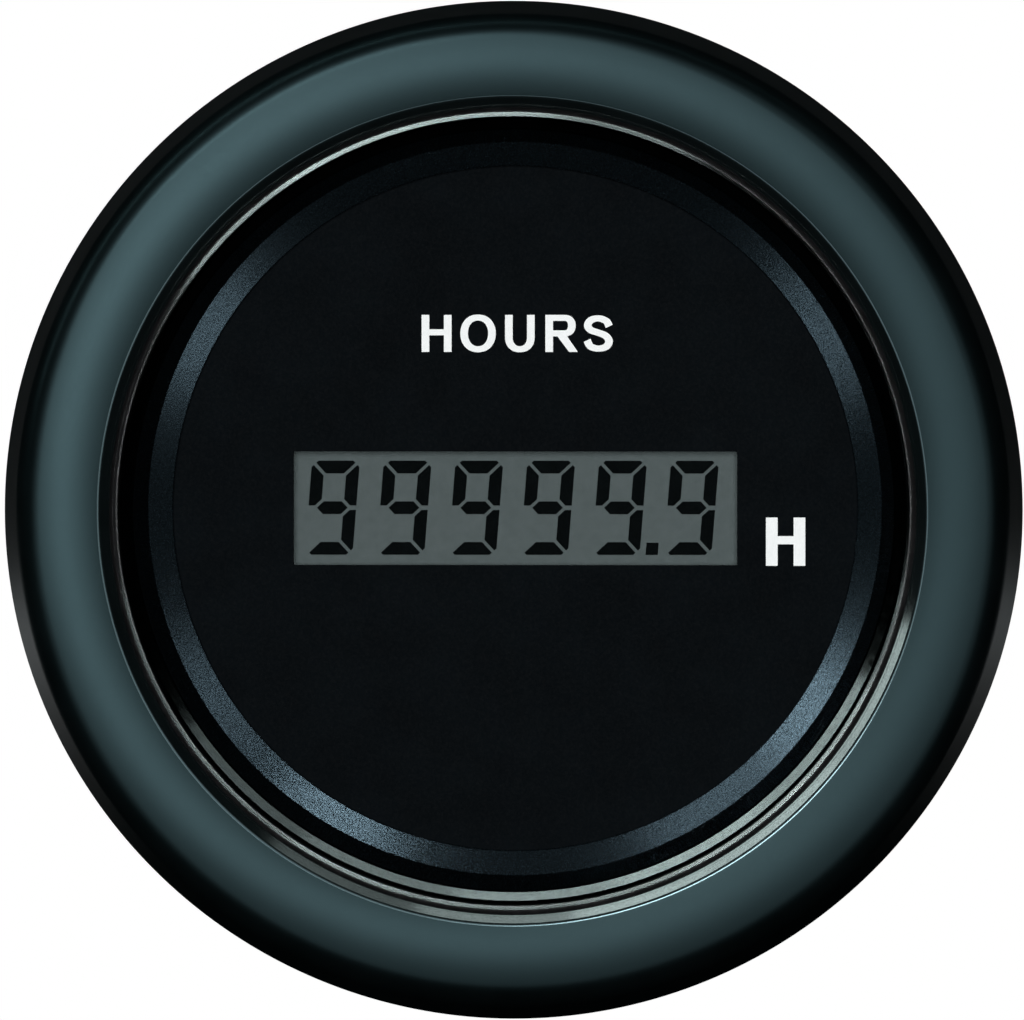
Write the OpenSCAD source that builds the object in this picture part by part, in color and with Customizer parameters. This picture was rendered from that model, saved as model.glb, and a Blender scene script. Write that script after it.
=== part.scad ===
// Round panel hour meter: an electronic running-time counter with a liquid-crystal display.
// It drops into an instrument hole from the front and is held by a stirrup bracket behind.
// The face looks along -Y, with +Z up. The origin is on the meter's axis, in the plane of
// the panel's front. Inside the modules the axis is Z, the face looks along +Z and Y is up.

/* [Panel] */
// Diameter of the panel hole that the meter is made for
panel_hole_d = 52; // [51:0.25:53]
// Room for the panel between the gasket and the bracket's legs
panel_gap = 6; // [5:0.5:8]
// How far the bracket can be run forward from there
bracket_forward = 5; // [3:0.5:5]
// How far the bracket can be run back from there
bracket_back = 7; // [4:0.5:10]

/* [Case] */
// Radial play of the barrel in the panel hole
barrel_play = 0.25; // [0.1:0.05:0.4]
// Length of the barrel behind the panel's front
barrel_len = 28; // [26:0.5:36]
// Thickness of the barrel's wall at the front
case_wall = 1.6; // [1.2:0.1:1.8]
// Width of the ledge that carries the dial
ledge_w = 0.95; // [0.7:0.05:1.3]
// Thickness of the case's back
back_t = 2; // [1.6:0.1:3]
// Length of the neck that the bezel is pressed on, ahead of the panel
neck_len = 2.6; // [2.2:0.1:3.2]
// Step from the barrel's outside in to the neck
neck_step = 0.45; // [0.35:0.05:0.6]
// Chamfer round the barrel's rear edge
barrel_chamfer = 0.8; // [0.4:0.1:1.2]
// Height of the raised rim round the case's back
rear_rim_h = 0.6; // [0.4:0.1:1]
// Width of that rim
rear_rim_w = 1.2; // [0.8:0.1:2]

/* [Bezel] */
// Outside diameter of the bezel
bezel_d = 62; // [56:0.25:70]
// Distance from the barrel's outside in to the bezel's lip
lip_inset = 0.75; // [0.5:0.05:1.2]
// Thickness of the bezel at its crown, over the lens
bezel_lip_t = 0.75; // [0.7:0.05:1.2]
// Thickness of the bezel's skirt, round the gasket
bezel_skirt_t = 1.2; // [0.8:0.05:1.6]
// Slope of the crown where it runs into the lip
crown_tilt = 10; // [8:0.5:16]
// Slope of the crown where it runs into the shoulder
crown_end_tilt = 4.5; // [3:0.5:12]
// Radius of the shoulder between the crown and the side
shoulder_r = 1.8; // [1.4:0.1:2]
// Distance of the shoulder's centre from the bezel's outside
shoulder_inset = 2.4; // [2.2:0.05:2.6]
// Radius of the lip's front edge
lip_round = 0.45; // [0.3:0.05:0.6]
// Slope of the cone inside the lip, from the face
throat_angle = 38; // [32:1:44]

/* [Seals] */
// Thickness of the gasket behind the bezel
gasket_t = 1; // [0.8:0.1:1.8]
// Thickness of the seal under the lens
seal_t = 0.5; // [0.4:0.05:1]

/* [Lens] */
// Thickness of the lens's flange
lens_flange_t = 1.4; // [1.1:0.05:1.6]
// How far the lens's flange reaches out past the neck
lens_reach = 0.7; // [0.4:0.05:1]
// Rise of the window in front of the lens's flange
lens_rise = 0.4; // [0.35:0.05:0.6]
// Width of the bevel round the window
lens_bevel_w = 0.35; // [0.3:0.05:0.9]
// Fall of the bevel
lens_bevel_fall = 0.12; // [0.08:0.01:0.36]

/* [Face] */
// Width of the throat ring, seen from the front
throat_w = 1.5; // [1.2:0.05:2]
// Width of the satin ring, seen from the front
dial_ring_w = 1.45; // [1:0.05:1.6]
// Thickness of the satin ring at its rim
dial_ring_t = 1.3; // [1:0.05:2]
// Fall of the satin ring's sloping face
dial_ring_fall = 0.8; // [0.4:0.05:0.9]
// Height of the throat ring
throat_ring_h = 3.7; // [3:0.1:5]
// Thickness of the dial
dial_t = 0.5; // [0.3:0.05:1]

/* [Display] */
// Width of the display window
window_w = 27.3; // [26:0.1:28]
// Height of the display window
window_h = 7; // [6.4:0.1:7.6]
// Number of digits
digit_count = 6; // [4:1:6]
// Height of a digit
digit_h = 5.8; // [5:0.1:6]
// Width of a digit, without its slant
digit_w = 2.95; // [2.3:0.05:3.1]
// Distance from one digit to the next
digit_pitch = 4.43; // [4:0.01:4.5]
// Width of a segment
segment_w = 0.78; // [0.5:0.02:0.85]
// Gap between segments
segment_gap = 0.2; // [0.1:0.02:0.3]
// Slant of the digits
digit_slant = 4.5; // [0:0.5:6]
// Cut across the outer corners of a digit
digit_corner_cut = 0.4; // [0.1:0.05:0.6]
// Shift of the row of digits from the window's middle
row_shift = -0.25; // [-0.4:0.05:0.4]
// Side of the decimal point
point_w = 0.75; // [0.5:0.05:0.9]
// Thickness of a polarizer
polarizer_t = 0.2; // [0.15:0.05:0.3]
// Thickness of a display glass
glass_t = 0.7; // [0.5:0.05:1.1]
// Thickness of the liquid-crystal layer and its edge seal
crystal_t = 0.1; // [0.08:0.01:0.2]
// Width of the display glasses
glass_w = 32; // [31:0.2:33]
// Height of the front glass
front_glass_h = 13.2; // [12.6:0.2:14]
// Height of the rear glass
rear_glass_h = 9.8; // [9.4:0.1:10]
// Thickness of the light guide
guide_t = 2.5; // [2:0.1:3.5]

/* [Electronics] */
// Thickness of the circuit board
board_t = 1.6; // [1:0.1:2]
// Distance of the board's screws in from its edge
board_edge = 3.4; // [3:0.1:4.5]
// Diameter of the board's screws
board_screw_d = 2.2; // [2:0.1:2.6]
// Length of the screws' shanks
board_screw_len = 8; // [6:0.5:10]
// Diameter of the supply capacitor
capacitor_d = 8; // [6.3:0.1:8]
// Height of the supply capacitor
capacitor_h = 11.5; // [7:0.5:12.5]
// Side of the counter chip's body
counter_chip_w = 10; // [7:0.5:10]

/* [Terminals] */
// Width of a terminal blade
blade_w = 6.3; // [4.8:0.1:6.3]
// Thickness of a terminal blade
blade_t = 0.8; // [0.5:0.1:1]
// Length of a blade behind the case's back
blade_len = 10; // [8:0.5:12]
// Distance of the blades from the axis, up or down
blade_offset = 13.5; // [12.5:0.1:14]
// Distance between the two lower blades
blade_spacing = 13; // [12:0.25:14]

/* [Bracket] */
// Width of the bracket's strip
strip_w = 14; // [10:0.5:16]
// Thickness of the bracket's strip
strip_t = 1.5; // [1:0.1:2]
// Inside radius of the bracket's bends
bend_r = 2; // [1.5:0.1:3]
// Gap between the barrel and the bracket's legs
leg_gap = 1.5; // [1:0.1:2]
// Distance from the case's back to the bracket at rest
web_gap = 8; // [7.5:0.1:11]
// Distance between the two studs
stud_spacing = 32; // [30:0.5:36]
// Thread diameter of the studs
stud_d = 4; // [3:0.5:5]
// Diameter of the thumb nuts' knurled rims
nut_d = 11; // [9:0.5:14]
// Height of the thumb nuts
nut_h = 5.6; // [4.5:0.1:8]
// Thickness of the lock washers
washer_t = 1; // [0.8:0.1:1.6]

/* [Hidden] */
$fn = 96;
fit_gap = 0.15;
small_gap = 0.05;
overcut = 1;
segment_fn = 48;

// Radii from the case outwards and inwards
barrel_r = panel_hole_d / 2 - barrel_play;
bore_r = barrel_r - case_wall;
inner_r = bore_r - ledge_w;
neck_r = barrel_r - neck_step;
spigot_r = panel_hole_d / 2 + small_gap;
opening_r = barrel_r - lip_inset;
bezel_r = bezel_d / 2;
skirt_in_r = bezel_r - bezel_skirt_t;

// Levels along the axis: the panel's front is 0
lens_back = neck_len;
lens_seat = lens_back + seal_t;
lens_flange_front = lens_seat + lens_flange_t;
crown_z = lens_flange_front + bezel_lip_t;
lens_front = lens_flange_front + lens_rise;
dial_ring_front = lens_back - throat_ring_h;
dial_front = dial_ring_front - dial_ring_t;
dial_back = dial_front - dial_t;
front_glass_front = dial_back - polarizer_t;
crystal_front = front_glass_front - glass_t;
rear_glass_front = crystal_front - crystal_t;
reflector_front = rear_glass_front - glass_t;
guide_front = reflector_front - polarizer_t;
board_front = guide_front - guide_t;
board_back = board_front - board_t;
case_back = -barrel_len;
case_floor = case_back + back_t;
rear_rim = case_back - rear_rim_h;

// Bezel section: the lip, crown and shoulder are arcs that run into one another
overrun = 0.002;
overrun_angle = 10;
side_tilt = 62;
skirt_lift = 0.2;
skirt_chamfer = 0.4;
lip_c_r = opening_r + lip_round * sin(throat_angle);
shoulder_c_r = bezel_r - shoulder_inset;
crown_w = shoulder_c_r - lip_c_r + shoulder_r * sin(crown_end_tilt) + lip_round * sin(crown_tilt);
crown_r = crown_w / (sin(crown_tilt) + sin(crown_end_tilt));
crown_c = [lip_c_r + (crown_r - lip_round) * sin(crown_tilt), crown_z - crown_r];
shoulder_c = on_arc(crown_c, crown_r - shoulder_r, crown_end_tilt);
lip_c = on_arc(crown_c, crown_r - lip_round, -crown_tilt);
throat_top = on_arc(lip_c, lip_round, -throat_angle);
throat_fall = throat_top[1] - lens_flange_front;
throat_bottom_r = throat_top[0] - throat_fall / tan(throat_angle);
side_top = on_arc(shoulder_c, shoulder_r, side_tilt);
side_z = side_top[1] - (bezel_r - side_top[0]) * tan(side_tilt);

// The bezel is pressed on the neck, and a bead in it snaps into a groove there
bezel_bore_r = neck_r + small_gap;
snap_depth = 0.3;
snap_h = 0.9;
snap_from = (neck_len - snap_h) / 2;
snap_to = snap_from + snap_h;

// Lens, seals and rings of the face
lens_r = neck_r + lens_reach;
lens_cavity_r = lens_r + fit_gap;
window_r = throat_bottom_r - fit_gap;
seal_in_r = bore_r + 0.1;
gasket_play = 0.1;
throat_ring_lip = 0.2;
throat_step_w = 0.5;
throat_step_fall = 0.17;
throat_step_edge = 0.12;
ring_out_r = bore_r - fit_gap;
throat_bottom = ring_out_r - throat_w;
dial_view_r = throat_bottom - dial_ring_w;

// Digits: corners are sheared by the slant, and the row is shifted from the window's middle
shear = tan(digit_slant);
row_w = (digit_count - 1) * digit_pitch + digit_w + digit_h * shear;
first_x = row_shift - row_w / 2;
segments_of_nine = [0, 1, 2, 3, 5, 6];

// Display module behind the dial
polarizer_margin = 0.7;
seal_frame_w = 1;
rear_inset = 0.4;
guide_w = glass_w - 1.4;
guide_h = rear_glass_h - rear_inset;
led_size = [0.7, 3, 1.4];
strip_rubber_w = 1.3;
strip_rubber_margin = 2;
strip_rubber_len = glass_w - 2 * strip_rubber_margin;
strip_rubber_y = (front_glass_h / 2 + rear_glass_h / 2) / 2;
holder_wall = 1.6;
pocket_gap = 0.1;
pocket_size = [glass_w, front_glass_h] + 2 * pocket_gap * [1, 1];
holder_size = pocket_size + 2 * holder_wall * [1, 1];
peg_d = 1.2;
peg_reach = 0.5;
peg_root = 1;
peg_at = [(pocket_size[0] + holder_wall) / 2, rear_glass_h / 2 - 1];

// Board, its screws and the posts that carry it
board_play = 0.4;
board_r = inner_r - board_play;
board_screw_r = board_r - board_edge;
board_screw_angles = [45, 135, 270];
screw_head_rim = 0.9;
screw_head_d = board_screw_d + 2 * screw_head_rim;
screw_head_h = 1.4;
post_d = 5.2;
post_rib_t = 1.6;
screw_play = 0.05;
screw_hole_d = board_screw_d + 2 * screw_play;
lead_t = 0.2;
lead_w = 0.4;
lead_pitch = 0.8;
lead_reach = 1;

// Components on the back of the board: body sizes, and places about the axis
counter_chip_t = 1.6;
memory_size = [4, 5, 1.5];
memory_at = [-11, 4];
can_d = 2;
can_len = 6;
can_at = [-11, -4];
capacitor_at = [11.5, 0];
regulator_size = [3.6, 6.4, 1.6];
regulator_at = [capacitor_at[0], capacitor_at[1] - (capacitor_d + regulator_size[1] + 1) / 2];
diode_size = [4.3, 2.6, 2.1];
diode_at = [0, -9.6];
suppressor_size = [4.6, 3.6, 2.3];
suppressor_at = [5.5, 11];
chip_size = [2, 1.25, 0.6];
chip_pitch = 3.2;
chip_rows = [[4, [-6, 8.2]], [3, [-15, -9.4]], [2, [-1.6, -12.4]]];

// Terminals: one lighting blade above, the supply blades below
blade_at = [[0, blade_offset], [-blade_spacing / 2, -blade_offset], [blade_spacing / 2, -blade_offset]];
blade_hole_d = 1.8;
blade_shoulder_step = 1;
blade_shoulder = [blade_w + 2 * blade_shoulder_step, 1.5];
tail_w = 2;
tail_end = board_front + 0.4;
collar_h = 1.5;
collar_wall = 1.4;
slot_play = 0.1;
slot_size = [blade_w, blade_t] + 2 * slot_play * [1, 1];

// Studs and bracket
stud_x = stud_spacing / 2;
stud_root_d = stud_d + 1;
stud_head_rim = 1.6;
stud_head_d = stud_d + 2 * stud_head_rim;
stud_head_h = 1.2;
stud_boss_wall = 2;
stud_boss_d = stud_root_d + 2 * stud_boss_wall;
stud_boss_h = 2;
web_front = case_back - web_gap;
web_back = web_front - strip_t;
washer_back = web_back - washer_t;
nut_back = washer_back - nut_h;
stud_end = nut_back - bracket_back - 1;
leg_in = barrel_r + leg_gap;
leg_out = leg_in + strip_t;
leg_end = -panel_gap;
bracket_hole_d = stud_d + 0.5;
leg_corner_r = 2;
leg_notch = 1.2;
washer_rim = 1.8;
washer_d = stud_d + 2 * washer_rim;
washer_bore_d = stud_d + 0.2;
washer_slit = 0.6;
nut_bore_d = stud_d + 0.1;
nut_collar_step = 1.5;
nut_collar_d = nut_d - 2 * nut_collar_step;
nut_collar_h = 1.6;
knurl_count = 36;
knurl_depth = 0.45;
nut_chamfer = 0.6;

// Helpers

// A point on an arc about c, at a tilt from the axis towards the outside
function on_arc(c, r, tilt) = [c[0] + r * sin(tilt), c[1] + r * cos(tilt)];

// The area between an arc about c and its chord, from tilt a to tilt b
module arc_segment(c, r, a, b) {
    p = on_arc(c, r, a);
    q = on_arc(c, r, b);
    mid = (a + b) / 2;
    out = 2 * r * [sin(mid), cos(mid)];
    intersection() {
        translate(c) circle(r);
        polygon([p, q, q + out, p + out]);
    }
}

// Turns the modules' axis and front into the meter's own frame
module in_panel() {
    rotate([90, 0, 0]) children();
}

// A block centred in x and y, from one level up to another
module block(size, from, to) {
    translate([-size[0] / 2, -size[1] / 2, from]) cube([size[0], size[1], to - from]);
}

// A round bar or hole between two levels
module bar(d, from, to) {
    translate([0, 0, from]) cylinder(d = d, h = to - from);
}

// Copies the children to a point on the left and on the right of the axis
module left_and_right(x) {
    for (side = [-1, 1]) translate([side * x, 0, 0]) children();
}

module at_board_screws() {
    for (angle = board_screw_angles) rotate(angle) translate([board_screw_r, 0, 0]) children();
}

module at_holder_pegs() {
    for (x = [-1, 1], y = [-1, 1]) translate([x * peg_at[0], y * peg_at[1], 0]) children();
}

// Front of the meter

module bezel() {
    color([0.06, 0.08, 0.08])
    rotate_extrude() {
        polygon([
            [throat_bottom_r, lens_flange_front],
            [lens_cavity_r, lens_flange_front],
            [lens_cavity_r, neck_len],
            [bezel_bore_r, neck_len],
            [bezel_bore_r, snap_to],
            [bezel_bore_r - snap_depth, snap_to - snap_depth],
            [bezel_bore_r - snap_depth, snap_from + snap_depth],
            [bezel_bore_r, snap_from],
            [bezel_bore_r, 0],
            [spigot_r, 0],
            [spigot_r, gasket_t],
            [skirt_in_r, gasket_t],
            [skirt_in_r, skirt_lift],
            [bezel_r - skirt_chamfer, skirt_lift],
            [bezel_r, skirt_lift + skirt_chamfer],
            [bezel_r, side_z],
            side_top,
            on_arc(crown_c, crown_r, crown_end_tilt),
            on_arc(crown_c, crown_r, -crown_tilt),
            throat_top
        ]);
        arc_segment(crown_c, crown_r, -crown_tilt, crown_end_tilt);
        arc_segment(lip_c, lip_round + overrun, -throat_angle - overrun_angle, overrun_angle - crown_tilt);
        arc_segment(shoulder_c, shoulder_r + overrun,
            crown_end_tilt - overrun_angle, side_tilt + overrun_angle);
    }
}

module lens() {
    color([0.8, 0.86, 0.88, 0.3])
    rotate_extrude()
    polygon([
        [0, lens_back],
        [ring_out_r, lens_back],
        [ring_out_r, lens_seat],
        [lens_r, lens_seat],
        [lens_r, lens_flange_front],
        [window_r, lens_flange_front],
        [window_r, lens_front - lens_bevel_fall],
        [window_r - lens_bevel_w, lens_front],
        [0, lens_front]
    ]);
}

module lens_seal() {
    color([0.05, 0.05, 0.05])
    difference() {
        bar(2 * lens_r, lens_back, lens_seat);
        bar(2 * seal_in_r, lens_back - overcut, lens_seat + overcut);
    }
}

module panel_gasket() {
    color([0.06, 0.06, 0.06])
    difference() {
        bar(2 * (skirt_in_r - gasket_play), 0, gasket_t);
        bar(2 * (spigot_r + gasket_play), -overcut, gasket_t + overcut);
    }
}

module throat_ring() {
    top_r = ring_out_r - throat_ring_lip;
    color([0.02, 0.03, 0.03])
    rotate_extrude()
    polygon([
        [throat_bottom, dial_ring_front],
        [ring_out_r, dial_ring_front],
        [ring_out_r, lens_back],
        [top_r, lens_back],
        [top_r - throat_step_w, lens_back - throat_step_fall],
        [top_r - throat_step_w - throat_step_edge, lens_back - throat_step_fall]
    ]);
}

module dial_ring() {
    color([0.2, 0.22, 0.24])
    rotate_extrude()
    polygon([
        [dial_view_r, dial_front],
        [ring_out_r, dial_front],
        [ring_out_r, dial_ring_front],
        [throat_bottom, dial_ring_front],
        [dial_view_r, dial_ring_front - dial_ring_fall]
    ]);
}

module dial() {
    color([0.04, 0.06, 0.07])
    difference() {
        bar(2 * ring_out_r, dial_back, dial_front);
        block([window_w, window_h], dial_back - overcut, dial_front + overcut);
    }
}

// Display module

// Corners of one segment of a digit, without slant. 0 is the top, then clockwise, 6 the middle
function segment_corners(i) =
    let (
        w = digit_w, h = digit_h, s = segment_w, g = segment_gap / sqrt(2),
        m = h / 2, side = [[0, m + g], [0, h - g], [s, h - s - g], [s, m + s / 2 + g], [s / 2, m + g]]
    )
    i == 0 ? [[g, h], [w - g, h], [w - s - g, h - s], [s + g, h - s]]
    : i == 1 ? [for (p = side) [w - p[0], p[1]]]
    : i == 2 ? [for (p = side) [w - p[0], h - p[1]]]
    : i == 3 ? [for (p = segment_corners(0)) [p[0], h - p[1]]]
    : i == 4 ? [for (p = side) [p[0], h - p[1]]]
    : i == 5 ? side
    : [[s / 2 + g, m], [s + g, m + s / 2], [w - s - g, m + s / 2], [w - s / 2 - g, m],
       [w - s - g, m - s / 2], [s + g, m - s / 2]];

// Slanted about the bottom of the row, and centred on the axis in height
function slanted(points) = [for (p = points) [p[0] + p[1] * shear, p[1] - digit_h / 2]];

// Outline of a digit, without slant, with its corners cut off
function digit_outline() =
    let (w = digit_w, h = digit_h, c = digit_corner_cut)
    [[c, 0], [w - c, 0], [w, c], [w, h - c], [w - c, h], [c, h], [0, h - c], [0, c]];

module digit_nine() {
    intersection() {
        for (i = segments_of_nine) polygon(slanted(segment_corners(i)));
        polygon(slanted(digit_outline()));
    }
}

module display_segments() {
    point_x = first_x + (digit_count - 1.5) * digit_pitch + digit_w / 2 - point_w / 2;
    point = [[0, 0], [point_w, 0], [point_w, point_w], [0, point_w]];
    color([0.03, 0.05, 0.06])
    translate([0, 0, rear_glass_front])
    linear_extrude(crystal_t) {
        for (i = [0 : digit_count - 1]) translate([first_x + i * digit_pitch, 0]) digit_nine();
        translate([point_x, 0]) polygon(slanted(point));
    }
}

module display_front_polarizer() {
    color([0.55, 0.6, 0.6, 0.4])
    block([window_w, window_h] + 2 * polarizer_margin * [1, 1], front_glass_front, dial_back);
}

module display_front_glass() {
    color([0.8, 0.85, 0.85, 0.3])
    block([glass_w, front_glass_h], crystal_front, front_glass_front);
}

module display_edge_seal() {
    outer = [glass_w, rear_glass_h] - rear_inset * [1, 1];
    color([0.5, 0.52, 0.5])
    difference() {
        block(outer, rear_glass_front, crystal_front);
        block(outer - 2 * seal_frame_w * [1, 1], rear_glass_front - overcut, crystal_front + overcut);
    }
}

module display_rear_glass() {
    color([0.8, 0.85, 0.85, 0.3])
    block([glass_w, rear_glass_h], reflector_front, rear_glass_front);
}

module display_reflector() {
    color([0.33, 0.37, 0.38])
    block([glass_w, rear_glass_h] - 2 * rear_inset * [1, 1], guide_front, reflector_front);
}

module light_guide() {
    color([0.85, 0.88, 0.88, 0.5])
    block([guide_w, guide_h], board_front, guide_front);
}

module backlight_leds() {
    color([0.9, 0.88, 0.7])
    left_and_right(guide_w / 2 + small_gap + led_size[0] / 2)
    block(led_size, board_front, board_front + led_size[2]);
}

module display_holder() {
    color([0.85, 0.86, 0.84]) {
        difference() {
            block(holder_size, board_front, dial_back);
            block(pocket_size, board_front - overcut, dial_back + overcut);
        }
        at_holder_pegs() bar(peg_d, board_back - peg_reach, board_front + peg_root);
    }
}

module contact_strip(side) {
    color([0.3, 0.32, 0.35])
    translate([0, side * strip_rubber_y, 0])
    block([strip_rubber_len, strip_rubber_w], board_front, crystal_front);
}

// Circuit board and what is soldered to it

module circuit_board() {
    color([0.05, 0.25, 0.14])
    difference() {
        bar(2 * board_r, board_back, board_front);
        at_board_screws() bar(board_screw_d + 0.3, board_back - overcut, board_front + overcut);
        at_holder_pegs() bar(peg_d + 2 * pocket_gap, board_back - overcut, board_front + overcut);
        for (at = blade_at) translate(at)
            block([tail_w, blade_t] + 2 * slot_play * [1, 1], board_back - overcut, board_front + overcut);
    }
}

// A chip body with a row of bent leads on two or four sides, hanging under the board
module leaded_chip(size, leads, sides) {
    top = board_back - lead_t;
    block(size, top - size[2], top);
    for (side = [0 : sides - 1]) rotate(side * 360 / sides) {
        across = (side % 2 == 0 || sides == 2 ? size[0] : size[1]) / 2;
        for (i = [0 : leads - 1]) translate([across, (i - (leads - 1) / 2) * lead_pitch, 0]) {
            translate([-0.3, -lead_w / 2, board_back - lead_t]) cube([lead_reach + 0.3, lead_w, lead_t]);
        }
    }
}

module counter_chip() {
    color([0.08, 0.08, 0.09])
    leaded_chip([counter_chip_w, counter_chip_w, counter_chip_t], floor(counter_chip_w / lead_pitch) - 1, 4);
}

module memory_chip() {
    color([0.08, 0.08, 0.09])
    translate(memory_at) leaded_chip(memory_size, 4, 2);
}

module timing_crystal() {
    wire_d = 0.3;
    wire_len = 1.2;
    wire_y = 0.35;
    color([0.75, 0.76, 0.78])
    translate([can_at[0], can_at[1], board_back - can_d / 2]) rotate([0, 90, 0]) {
        cylinder(d = can_d, h = can_len, center = true);
        for (y = [-1, 1]) translate([0, y * wire_y, can_len / 2]) cylinder(d = wire_d, h = wire_len);
    }
}

module voltage_regulator() {
    color([0.08, 0.08, 0.09])
    translate(regulator_at) leaded_chip(regulator_size, 3, 2);
}

module supply_capacitor() {
    groove = 0.4;
    groove_up = 2.4;
    color([0.7, 0.72, 0.75])
    translate(capacitor_at)
    difference() {
        bar(capacitor_d, board_back - capacitor_h, board_back);
        translate([0, 0, board_back - groove_up])
        rotate_extrude() translate([capacitor_d / 2 + groove / 2, 0]) circle(groove, $fn = segment_fn);
    }
}

module supply_diode() {
    color([0.1, 0.1, 0.1])
    translate(diode_at) leaded_chip(diode_size, 2, 2);
}

module surge_suppressor() {
    color([0.1, 0.1, 0.1])
    translate(suppressor_at) leaded_chip(suppressor_size, 3, 2);
}

module chip_components() {
    color([0.55, 0.5, 0.42])
    for (row = chip_rows, i = [0 : row[0] - 1])
        translate([row[1][0] + i * chip_pitch, row[1][1], 0])
        block(chip_size, board_back - chip_size[2], board_back);
}

module board_screws() {
    color([0.7, 0.7, 0.72])
    at_board_screws()
    difference() {
        union() {
            bar(board_screw_d, board_front - board_screw_len, board_front + 0.1);
            bar(screw_head_d, board_front, board_front + screw_head_h);
        }
        for (turn = [0, 90]) rotate(turn)
            block([screw_head_d * 0.6, 0.6], board_front + screw_head_h / 2, board_front + 2 * screw_head_h);
    }
}

// Case

module case_shell() {
    rotate_extrude()
    polygon([
        [0, case_back],
        [barrel_r - rear_rim_w - barrel_chamfer, case_back],
        [barrel_r - rear_rim_w - barrel_chamfer, rear_rim],
        [barrel_r - barrel_chamfer, rear_rim],
        [barrel_r, rear_rim + barrel_chamfer],
        [barrel_r, 0],
        [neck_r, 0],
        [neck_r, snap_from],
        [neck_r - snap_depth, snap_from + snap_depth],
        [neck_r - snap_depth, snap_to - snap_depth],
        [neck_r, snap_to],
        [neck_r, neck_len],
        [bore_r, neck_len],
        [bore_r, dial_back],
        [inner_r, dial_back],
        [inner_r, case_floor],
        [0, case_floor]
    ]);
}

module board_posts() {
    at_board_screws() {
        bar(post_d, case_floor - 0.5, board_back);
        translate([0, -post_rib_t / 2, case_floor - 0.5])
            cube([inner_r + 0.5 - board_screw_r, post_rib_t, board_back - case_floor]);
    }
}

module case() {
    color([0.05, 0.05, 0.055])
    difference() {
        union() {
            case_shell();
            board_posts();
            left_and_right(stud_x) bar(stud_boss_d, case_back - stud_boss_h, case_floor);
            for (at = blade_at) translate(at)
                block([blade_w, blade_t] + 2 * collar_wall * [1, 1], case_back - collar_h, case_floor);
        }
        left_and_right(stud_x)
            bar(stud_root_d + 2 * small_gap, case_back - stud_boss_h - overcut, case_floor + overcut);
        for (at = blade_at) translate(at)
            block(slot_size, case_back - collar_h - overcut, case_floor + overcut);
        at_board_screws()
            bar(screw_hole_d, board_front - board_screw_len - overcut, board_back + overcut);
    }
}

// Terminals, studs and bracket

module terminal(at) {
    tip = 1;
    tip_z = case_back - blade_len;
    color([0.8, 0.66, 0.35])
    translate(at)
    rotate([90, 0, 0])
    linear_extrude(blade_t, center = true)
    difference() {
        polygon([
            [-blade_w / 2 + tip, tip_z], [blade_w / 2 - tip, tip_z], [blade_w / 2, tip_z + tip],
            [blade_w / 2, case_floor], [blade_shoulder[0] / 2, case_floor],
            [blade_shoulder[0] / 2, case_floor + blade_shoulder[1]],
            [tail_w / 2, case_floor + blade_shoulder[1]], [tail_w / 2, tail_end],
            [-tail_w / 2, tail_end], [-tail_w / 2, case_floor + blade_shoulder[1]],
            [-blade_shoulder[0] / 2, case_floor + blade_shoulder[1]],
            [-blade_shoulder[0] / 2, case_floor], [-blade_w / 2, case_floor],
            [-blade_w / 2, tip_z + tip]
        ]);
        translate([0, tip_z + blade_len * 0.4]) circle(d = blade_hole_d);
    }
}

module mounting_studs() {
    end_chamfer = 0.5;
    color([0.75, 0.75, 0.72])
    left_and_right(stud_x) {
        bar(stud_head_d, case_floor, case_floor + stud_head_h);
        bar(stud_root_d, case_back - stud_boss_h, case_floor + 0.1);
        bar(stud_d, stud_end + end_chamfer, case_floor);
        translate([0, 0, stud_end])
            cylinder(d1 = stud_d - 2 * end_chamfer, d2 = stud_d, h = end_chamfer);
    }
}

// A stirrup's outline in section: a U of strip with round corners, open towards the front
module stirrup_outline(half_w, bottom, r, top) {
    translate([-half_w, bottom + r]) square([2 * half_w, top - bottom - r]);
    translate([r - half_w, bottom]) square([2 * (half_w - r), r + 1]);
    for (side = [-1, 1]) translate([side * (half_w - r), bottom + r]) circle(r);
}

module mounting_bracket() {
    color([0.72, 0.73, 0.72])
    difference() {
        rotate([90, 0, 0])
        linear_extrude(strip_w, center = true)
        difference() {
            stirrup_outline(leg_out, web_back, bend_r + strip_t, leg_end);
            stirrup_outline(leg_in, web_front, bend_r, leg_end + 1);
        }
        left_and_right(stud_x) bar(bracket_hole_d, web_back - overcut, web_front + overcut);
        rotate([90, 0, 90])
        linear_extrude(2 * (leg_out + overcut), center = true) {
            polygon([[-leg_notch, leg_end + 1], [0, leg_end - leg_notch], [leg_notch, leg_end + 1]]);
            for (side = [-1, 1]) scale([side, 1]) difference() {
                translate([strip_w / 2 - leg_corner_r, leg_end - leg_corner_r]) square(leg_corner_r + 1);
                translate([strip_w / 2 - leg_corner_r, leg_end - leg_corner_r]) circle(leg_corner_r);
            }
        }
    }
}

module lock_washers() {
    color([0.6, 0.6, 0.6])
    left_and_right(stud_x)
    difference() {
        bar(washer_d, washer_back, web_back);
        bar(washer_bore_d, washer_back - overcut, web_back + overcut);
        translate([0, -washer_slit / 2, washer_back - overcut])
            cube([washer_d, washer_slit, washer_t + 2 * overcut]);
    }
}

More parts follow.
